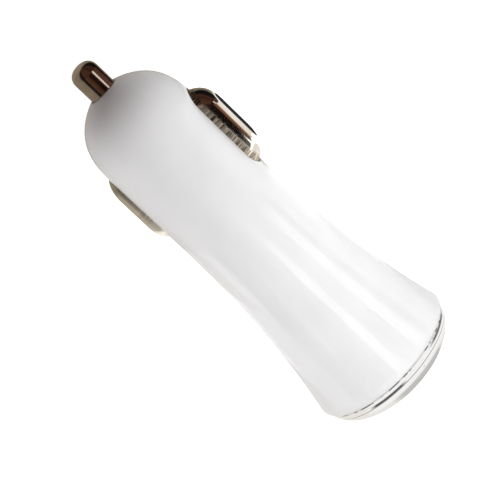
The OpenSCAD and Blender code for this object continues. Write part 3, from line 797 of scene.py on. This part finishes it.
def makeBoardLaminate():
    # glass-epoxy board under green solder mask: a faint weave, and paler lines where copper lies under it
    material, tree, place = newMaterial("boardLaminate")
    threads = [addNode(tree, "ShaderNodeTexWave", {"Vector": place, "Scale": perMillimetre(4)},
                       bands_direction=way).outputs["Fac"] for way in ("X", "Z")]
    weave = rampOf(tree, product(tree, *threads), [(0.0, "#0f4a26"), (1.0, "#18603a")])
    tracks = addNode(tree, "ShaderNodeTexBrick", {"Vector": place, "Scale": perMillimetre(6),
                                                  "Color1": grey(0), "Color2": grey(0), "Mortar": grey(1),
                                                  "Mortar Size": 0.03})
    return coverWith(material, {"Base Color": blendTones(tree, tracks.outputs["Color"], weave, "#2f8450"),
                                "Roughness": 0.35})


finishes = {
    "glossyAbs": makeGlossyAbs(),
    "turnedNickel": makeTurnedNickel(),
    "drawnNickel": makeDrawnNickel(),
    "satinNickel": makeSatinNickel(),
    "chromePlate": makeChromePlate(),
    "panelAbs": makeMoulded("panelAbs", "#e9e9ec", "#f1f1f2", 0.32, 0.12, 0.01),
    "clearAcrylic": makeClearAcrylic(),
    "springWire": makeMetal("springWire", "#8b8b8c", "#a9a9a8", 0.3, 0.1, (1, 1, 0.1)),
    "tinnedBrass": makeMetal("tinnedBrass", "#a39463", "#c4b68a", 0.32, 0.15, (1, 1, 0.1)),
    "carrierNylon": makeMoulded("carrierNylon", "#26262a", "#313136", 0.55, 0.15, 0.02),
    "boardLaminate": makeBoardLaminate(),
    "receptacleSteel": makeMetal("receptacleSteel", "#b4b4b2", "#cfcfcd", 0.24, 0.08, (1, 1, 0.05)),
    "tongueNylon": makeMoulded("tongueNylon", "#e4e3df", "#efeeea", 0.5, 0.1, 0.01),
    "goldFlash": makeMetal("goldFlash", "#cfa64e", "#e2c06d", 0.25, 0.08, (1, 1, 0.1)),
    "sinteredFerrite": makeMoulded("sinteredFerrite", "#222225", "#323236", 0.7, 0.08, 0.02),
    "enamelledCopper": makeMetal("enamelledCopper", "#8c3f1c", "#b45a2c", 0.3, 0.2, (0.1, 1, 0.1)),
    "shrunkSleeve": makeMoulded("shrunkSleeve", "#12172e", "#1b2140", 0.35, 0.4, 0.01),
    "tinnedWire": makeMetal("tinnedWire", "#a8a8a6", "#c9c9c6", 0.28, 0.1, (1, 1, 0.2)),
    "mouldedEpoxy": makeMoulded("mouldedEpoxy", "#141415", "#1f1f21", 0.6, 0.08, 0.01),
    "paleCeramic": makeMoulded("paleCeramic", "#dcd9cc", "#e8e6dc", 0.4, 0.08, 0.005),
    "darkCeramic": makeMoulded("darkCeramic", "#17171a", "#232327", 0.45, 0.08, 0.005),
    "tanCeramic": makeMoulded("tanCeramic", "#96794f", "#b39466", 0.45, 0.08, 0.005),
}

nodeFinish = {
    "face_panel": "panelAbs",
    "light_pipe": "clearAcrylic",
    "indicator_led": "clearAcrylic",
    "pin_terminal": "tinnedBrass",
    "ground_strap": "tinnedBrass",
    "spring_carrier": "carrierNylon",
    "circuit_board": "boardLaminate",
    "usb_shell": "receptacleSteel",
    "usb_tongue": "tongueNylon",
    "usb_contacts": "goldFlash",
    "inductor_core": "sinteredFerrite",
    "inductor_winding": "enamelledCopper",
    "input_capacitor": "shrunkSleeve",
    "output_capacitor": "shrunkSleeve",
    "capacitor_leads": "tinnedWire",
    "chip_leads": "tinnedWire",
    "diode_tabs": "tinnedWire",
    "led_leads": "tinnedWire",
    "converter_chip": "mouldedEpoxy",
    "schottky_diode": "mouldedEpoxy",
    "chip_fuse": "paleCeramic",
    "chip_resistors": "darkCeramic",
    "ceramic_capacitors": "tanCeramic",
}

for nodeName, finishName in nodeFinish.items():
    useMaterial(nodes[nodeName], finishes[finishName])
useMaterial(shell, finishes["glossyAbs"])
useMaterial(pin, finishes["turnedNickel"])
useMaterial(contactRight, finishes["drawnNickel"])
useMaterial(contactLeft, finishes["satinNickel"])
useMaterial(ring, finishes["chromePlate"])
for coil in coils:
    useMaterial(coil, finishes["springWire"])
print("stage: materials,", len(finishes))


# Floor, world and lights

studio = {
    "floorSize": 3.0,
    "floorColour": "#d8d8d8",
    "floorGlow": 0.93,
    "surroundRadius": 120*mm,
    "surroundTop": 170*mm,
    "streakZone": 13.5*mm,
    "streakBlur": 1*mm,
    "streakGlow": 1.9,
    "edgeZone": 38*mm,
    "pinZone": 48*mm,
    "tipZone": 72*mm,
    "cardRadius": 60*mm,
    "cardHeight": 0.05*mm,
    "cardSides": 96,
    "lampAim": 40*mm,
}

# Linear light of the sky by the sine of its height: brightest a third of the way up, dim and warm overhead
skyTones = [(0, (0.335, 0.335, 0.335, 1)), (0.35, (0.46, 0.4, 0.39, 1)), (0.7, (0.02, 0, 0, 1)),
            (1, (0.07, 0.05, 0.04, 1))]

# Cards round about that only gloss sees, from the floor up, by azimuth: 0 degrees in front, 90 on the +X side
streakSurround = [(-180, "#b5b0a8"), (-100, "#b5b0a8"), (-95, "#dedede"), (-80, "#dedede"), (-74, "#6a6764"),
                  (-42, "#5a5754"), (-38, "#a9a9a9"), (-33, "#a9a9a9"), (-28, "#4a4745"), (9, "#3a3836"),
                  (10, "#ffffff"), (23, "#ffffff"), (24, "#4a4745"), (51, "#5a5754"), (53, "#ffffff"),
                  (70, "#ffffff"), (72, "#6a6765"), (86, "#8a8785"), (90, "#f0f0f0"), (102, "#f0f0f0"),
                  (106, "#a0a0a0"), (110, "#ffffff"), (150, "#ffffff"), (180, "#b5b0a8")]
lowSurround = [(-180, "#d9d6d0"), (-155, "#d9d6d0"), (-130, "#b3aa9b"), (-60, "#bdb4a4"), (-22, "#3a3129"),
               (-14, "#17110f"), (22, "#17110f"), (30, "#5c3a2c"), (62, "#8a6450"), (74, "#fbf7f0"),
               (156, "#fdfcfa"), (161, "#23222b"), (171, "#23222b"), (176, "#d9d6d0")]
edgeSurround = [(-180, "#ebe9e5"), (-150, "#ebe9e5"), (-130, "#b3aa9b"), (-60, "#bdb4a4"), (-22, "#3a3129"),
                (-14, "#17110f"), (22, "#17110f"), (30, "#5c3a2c"), (62, "#8a6450"), (74, "#fbf7f0"),
                (180, "#f4f2ee")]
middleSurround = [(-180, "#9d9386"), (-130, "#978d7f"), (-42, "#857b6d"), (-32, "#171310"), (-20, "#171310"),
                  (-12, "#5d4234"), (18, "#4a2f24"), (24, "#1d0f0b"), (56, "#2a1711"), (59, "#fffaf4"),
                  (70, "#fffaf4"), (73, "#5c3a32"), (112, "#5c3a32"), (120, "#120e10"), (140, "#120e10"),
                  (150, "#8d8474"), (180, "#8d8474")]
highSurround = [(-180, "#9d9386"), (-130, "#978d7f"), (-46, "#80776a"), (-34, "#171310"), (-16, "#171310"),
                (-8, "#4c3328"), (40, "#4a2f24"), (60, "#331f18"), (90, "#4a2f28"), (110, "#120e10"),
                (140, "#120e10"), (156, "#8d8474"), (180, "#8d8474")]

# The card under the ring: its tones by azimuth outside and within the bore's reach, the greyer ones within it
# a painted shadow of the ring on the floor, and two dark marks on it
baseTones = [(-180, "#eae6df"), (-45, "#eae6df"), (-28, "#f6f5f3"), (120, "#f6f5f3"), (180, "#eae6df")]
boreShadowTones = [(-180, "#eae7e2"), (-14, "#eae7e2"), (0, "#c2c0be"), (54, "#c2c0be"), (66, "#eae7e2"),
             (180, "#eae7e2")]
boreReach = (12.2*mm, 13.2*mm)
cardMarks = [
    {"radius": (16.2*mm, 16.6*mm, 17.3*mm, 17.8*mm), "azimuth": (-36, -28, 4, 12), "tone": "#3f3c3e"},
    {"radius": (17.2*mm, 17.7*mm, 18.5*mm, 19*mm), "azimuth": (48, 62, 98, 112), "tone": "#645f5d"},
]


def seenDirectly(tree):
    # 1 for rays from the camera, off gloss or through glass, 0 for light falling on a surface
    path = addNode(tree, "ShaderNodeLightPath")
    seen = path.outputs["Is Camera Ray"]
    for ray in ("Is Glossy Ray", "Is Transmission Ray"):
        seen = addNode(tree, "ShaderNodeMath", {0: seen, 1: path.outputs[ray]}, operation="ADD",
                       use_clamp=True).outputs["Value"]
    return seen


def makeFloor():
    bpy.ops.object.select_all(action="DESELECT")
    bpy.ops.mesh.primitive_plane_add(size=studio["floorSize"])
    floor = bpy.context.object
    floor.name = "studioFloor"
    material, tree = newMaterial("studioFloorPaper")[:2]
    paper = addNode(tree, "ShaderNodeBsdfDiffuse", {"Color": linearColour(studio["floorColour"])})
    glow = addNode(tree, "ShaderNodeEmission", {"Color": grey(1), "Strength": studio["floorGlow"]})
    both = addNode(tree, "ShaderNodeAddShader", {0: paper.outputs["BSDF"], 1: glow.outputs["Emission"]})
    seen = addNode(tree, "ShaderNodeMixShader", {0: seenDirectly(tree), 1: paper.outputs["BSDF"],
                                                 2: both.outputs["Shader"]})
    addNode(tree, "ShaderNodeOutputMaterial", {"Surface": seen.outputs["Shader"]})
    useMaterial(floor, material)


def makeWorld():
    # white where it is seen; as light it is the sky band
    world = bpy.data.worlds.new("studioWorld")
    bpy.context.scene.world = world
    world.use_nodes = True
    tree = world.node_tree
    tree.nodes.clear()
    way = addNode(tree, "ShaderNodeTexCoord").outputs["Generated"]
    height = addNode(tree, "ShaderNodeSeparateXYZ", {"Vector": way}).outputs["Z"]
    soft = addNode(tree, "ShaderNodeBackground", {"Color": rampOf(tree, height, skyTones), "Strength": 1.0})
    white = addNode(tree, "ShaderNodeBackground", {"Color": grey(1), "Strength": 1.0})
    mixed = addNode(tree, "ShaderNodeMixShader", {0: seenDirectly(tree), 1: soft.outputs["Background"],
                                                  2: white.outputs["Background"]})
    addNode(tree, "ShaderNodeOutputWorld", {"Surface": mixed.outputs["Shader"]})


def azimuthShare(tree, parts):
    # 0 to 1 once round, 0.5 at the front
    away = product(tree, parts.outputs["Y"], -1.0)
    turn = addNode(tree, "ShaderNodeMath", {0: parts.outputs["X"], 1: away}, operation="ARCTAN2")
    return between(tree, turn.outputs["Value"], -pi, pi)


def shareOf(degrees):
    return (degrees + 180)/360


def aroundRamp(tree, azimuth, tones):
    return rampOf(tree, azimuth, [(shareOf(degrees), tone) for degrees, tone in tones])


def onlyInGloss(card):
    for ray in ("camera", "diffuse", "shadow", "transmission", "volume_scatter"):
        setattr(card, "visible_" + ray, False)


def makeBaseCard():
    # a white card on the floor that only gloss sees: its greyer middle, a painted shadow of the ring, and its
    # marks draw the ring's form
    bpy.ops.object.select_all(action="DESELECT")
    bpy.ops.mesh.primitive_circle_add(vertices=studio["cardSides"], radius=studio["cardRadius"],
                                      fill_type="NGON", location=(0, 0, studio["cardHeight"]))
    card = bpy.context.object
    card.name = "studioBaseCard"
    onlySelect(card)
    bpy.ops.object.transform_apply(location=True, rotation=True, scale=True)
    material, tree, place = newMaterial("studioBaseCardPaper")
    parts = addNode(tree, "ShaderNodeSeparateXYZ", {"Vector": place})
    azimuth = azimuthShare(tree, parts)
    far = addNode(tree, "ShaderNodeVectorMath", {0: place}, operation="LENGTH").outputs["Value"]
    # painted shadow: the card is greyer within the bore's reach, round the ring's foot
    tones = blendTones(tree, between(tree, far, *boreReach), aroundRamp(tree, azimuth, boreShadowTones),
                       aroundRamp(tree, azimuth, baseTones))
    for mark in cardMarks:
        inside = product(tree, inWindow(tree, far, mark["radius"]),
                         inWindow(tree, azimuth, [shareOf(degrees) for degrees in mark["azimuth"]]))
        tones = blendTones(tree, inside, tones, mark["tone"])
    glow = addNode(tree, "ShaderNodeEmission", {"Color": tones, "Strength": 1.0})
    addNode(tree, "ShaderNodeOutputMaterial", {"Surface": glow.outputs["Emission"]})
    useMaterial(card, material)
    onlyInGloss(card)


def makeSurround():
    # studio walls that only gloss sees: stripes low down for the shell, dark and brown cards for the metal
    bpy.ops.object.select_all(action="DESELECT")
    tall = studio["surroundTop"]
    bpy.ops.mesh.primitive_cylinder_add(vertices=studio["cardSides"], radius=studio["surroundRadius"],
                                        depth=tall, location=(0, 0, tall/2 + mm))
    surround = bpy.context.object
    surround.name = "studioSurround"
    bpy.ops.object.transform_apply(location=True, rotation=True, scale=True)
    bpy.ops.object.mode_set(mode="EDIT")
    selectVerts(surround, lambda co: co.z < 2*mm)
    bpy.ops.mesh.delete(type="ONLY_FACE")
    bpy.ops.object.mode_set(mode="OBJECT")
    material, tree, place = newMaterial("studioSurroundCards")
    parts = addNode(tree, "ShaderNodeSeparateXYZ", {"Vector": place})
    azimuth = azimuthShare(tree, parts)
    tones = aroundRamp(tree, azimuth, lowSurround)
    for zone, cards in (("edgeZone", edgeSurround), ("pinZone", middleSurround), ("tipZone", highSurround)):
        over = addNode(tree, "ShaderNodeMath", {0: parts.outputs["Z"], 1: studio[zone]},
                       operation="GREATER_THAN")
        tones = blendTones(tree, over.outputs["Value"], tones, aroundRamp(tree, azimuth, cards))
    glow = addNode(tree, "ShaderNodeEmission", {"Color": tones, "Strength": 1.0})
    stripes = addNode(tree, "ShaderNodeEmission", {"Color": aroundRamp(tree, azimuth, streakSurround),
                                                   "Strength": studio["streakGlow"]})
    above = between(tree, parts.outputs["Z"], studio["streakZone"] - studio["streakBlur"],
                    studio["streakZone"] + studio["streakBlur"])
    both = addNode(tree, "ShaderNodeMixShader", {0: above, 1: stripes.outputs["Emission"],
                                                 2: glow.outputs["Emission"]})
    addNode(tree, "ShaderNodeOutputMaterial", {"Surface": both.outputs["Shader"]})
    useMaterial(surround, material)
    onlyInGloss(surround)


# Soft boxes that stand round the plug: azimuth in degrees, height, distance, width, tallness, watts
softboxes = {
    "frontLow": (15, 20*mm, 90*mm, 60*mm, 36*mm, 0.036),
    "leftLow": (-50, 20*mm, 90*mm, 60*mm, 36*mm, 0.0035),
    "rightPanel": (65, 45*mm, 140*mm, 100*mm, 80*mm, 0.0083),
    "frontBand": (5, 80*mm, 250*mm, 200*mm, 40*mm, 0.065),
    "rightBand": (70, 80*mm, 250*mm, 200*mm, 40*mm, 0.1),
    "sideBand": (125, 80*mm, 250*mm, 200*mm, 40*mm, 0.1),
    "rightBox": (120, 85*mm, 450*mm, 300*mm, 160*mm, 0.54),
    "leftBox": (-100, 85*mm, 450*mm, 300*mm, 160*mm, 1.07),
    "rearBox": (190, 100*mm, 350*mm, 300*mm, 180*mm, 0.25),
}


def addSoftbox(name, azimuth, height, distance, width, tall, watts):
    data = bpy.data.lights.new(name, "AREA")
    data.shape = "RECTANGLE"
    data.size = width
    data.size_y = tall
    data.energy = watts
    lamp = bpy.data.objects.new(name, data)
    bpy.context.scene.collection.objects.link(lamp)
    turn = radians(azimuth)
    lamp.location = (distance*sin(turn), -distance*cos(turn), height)
    away = lamp.location - Vector((0, 0, min(height, studio["lampAim"])))
    lamp.rotation_euler = away.to_track_quat("Z", "Y").to_euler()
    lamp.visible_camera = False
    lamp.visible_glossy = False


makeFloor()
makeWorld()
makeBaseCard()
makeSurround()
for boxName, values in softboxes.items():
    addSoftbox(boxName, *values)
print("stage: studio")


# Camera at the photograph's view

view = {
    "azimuth": 12.5,
    "elevation": 16.6,
    "roll": 46.69,
    "lens": 126.0,
    "sensor": 36,
    "nearest": 0.01,
    "farthest": 10,
    "distance": 300*mm,
    "aimHeight": 44.17*mm,
    "aimRight": -3.97*mm,
    "aimDown": -7.12*mm,
}


def makeCamera():
    azimuth, elevation, roll = (radians(view[key]) for key in ("azimuth", "elevation", "roll"))
    back = Vector((sin(azimuth)*cos(elevation), -cos(azimuth)*cos(elevation), sin(elevation)))
    level = Vector((cos(azimuth), sin(azimuth), 0))
    upright = back.cross(level)
    right = level*cos(roll) - upright*sin(roll)
    up = level*sin(roll) + upright*cos(roll)
    aim = Vector((0, 0, view["aimHeight"])) - right*view["aimRight"] + up*view["aimDown"]
    place = aim + back*view["distance"]
    data = bpy.data.cameras.new("studioCamera")
    data.lens = view["lens"]
    data.sensor_width = view["sensor"]
    data.clip_start = view["nearest"]
    data.clip_end = view["farthest"]
    camera = bpy.data.objects.new("studioCamera", data)
    bpy.context.scene.collection.objects.link(camera)
    camera.matrix_world = Matrix.Translation(place) @ Matrix((right, up, back)).transposed().to_4x4()
    bpy.context.scene.camera = camera


makeCamera()
bpy.context.scene.view_settings.view_transform = "Standard"
print("stage: camera")
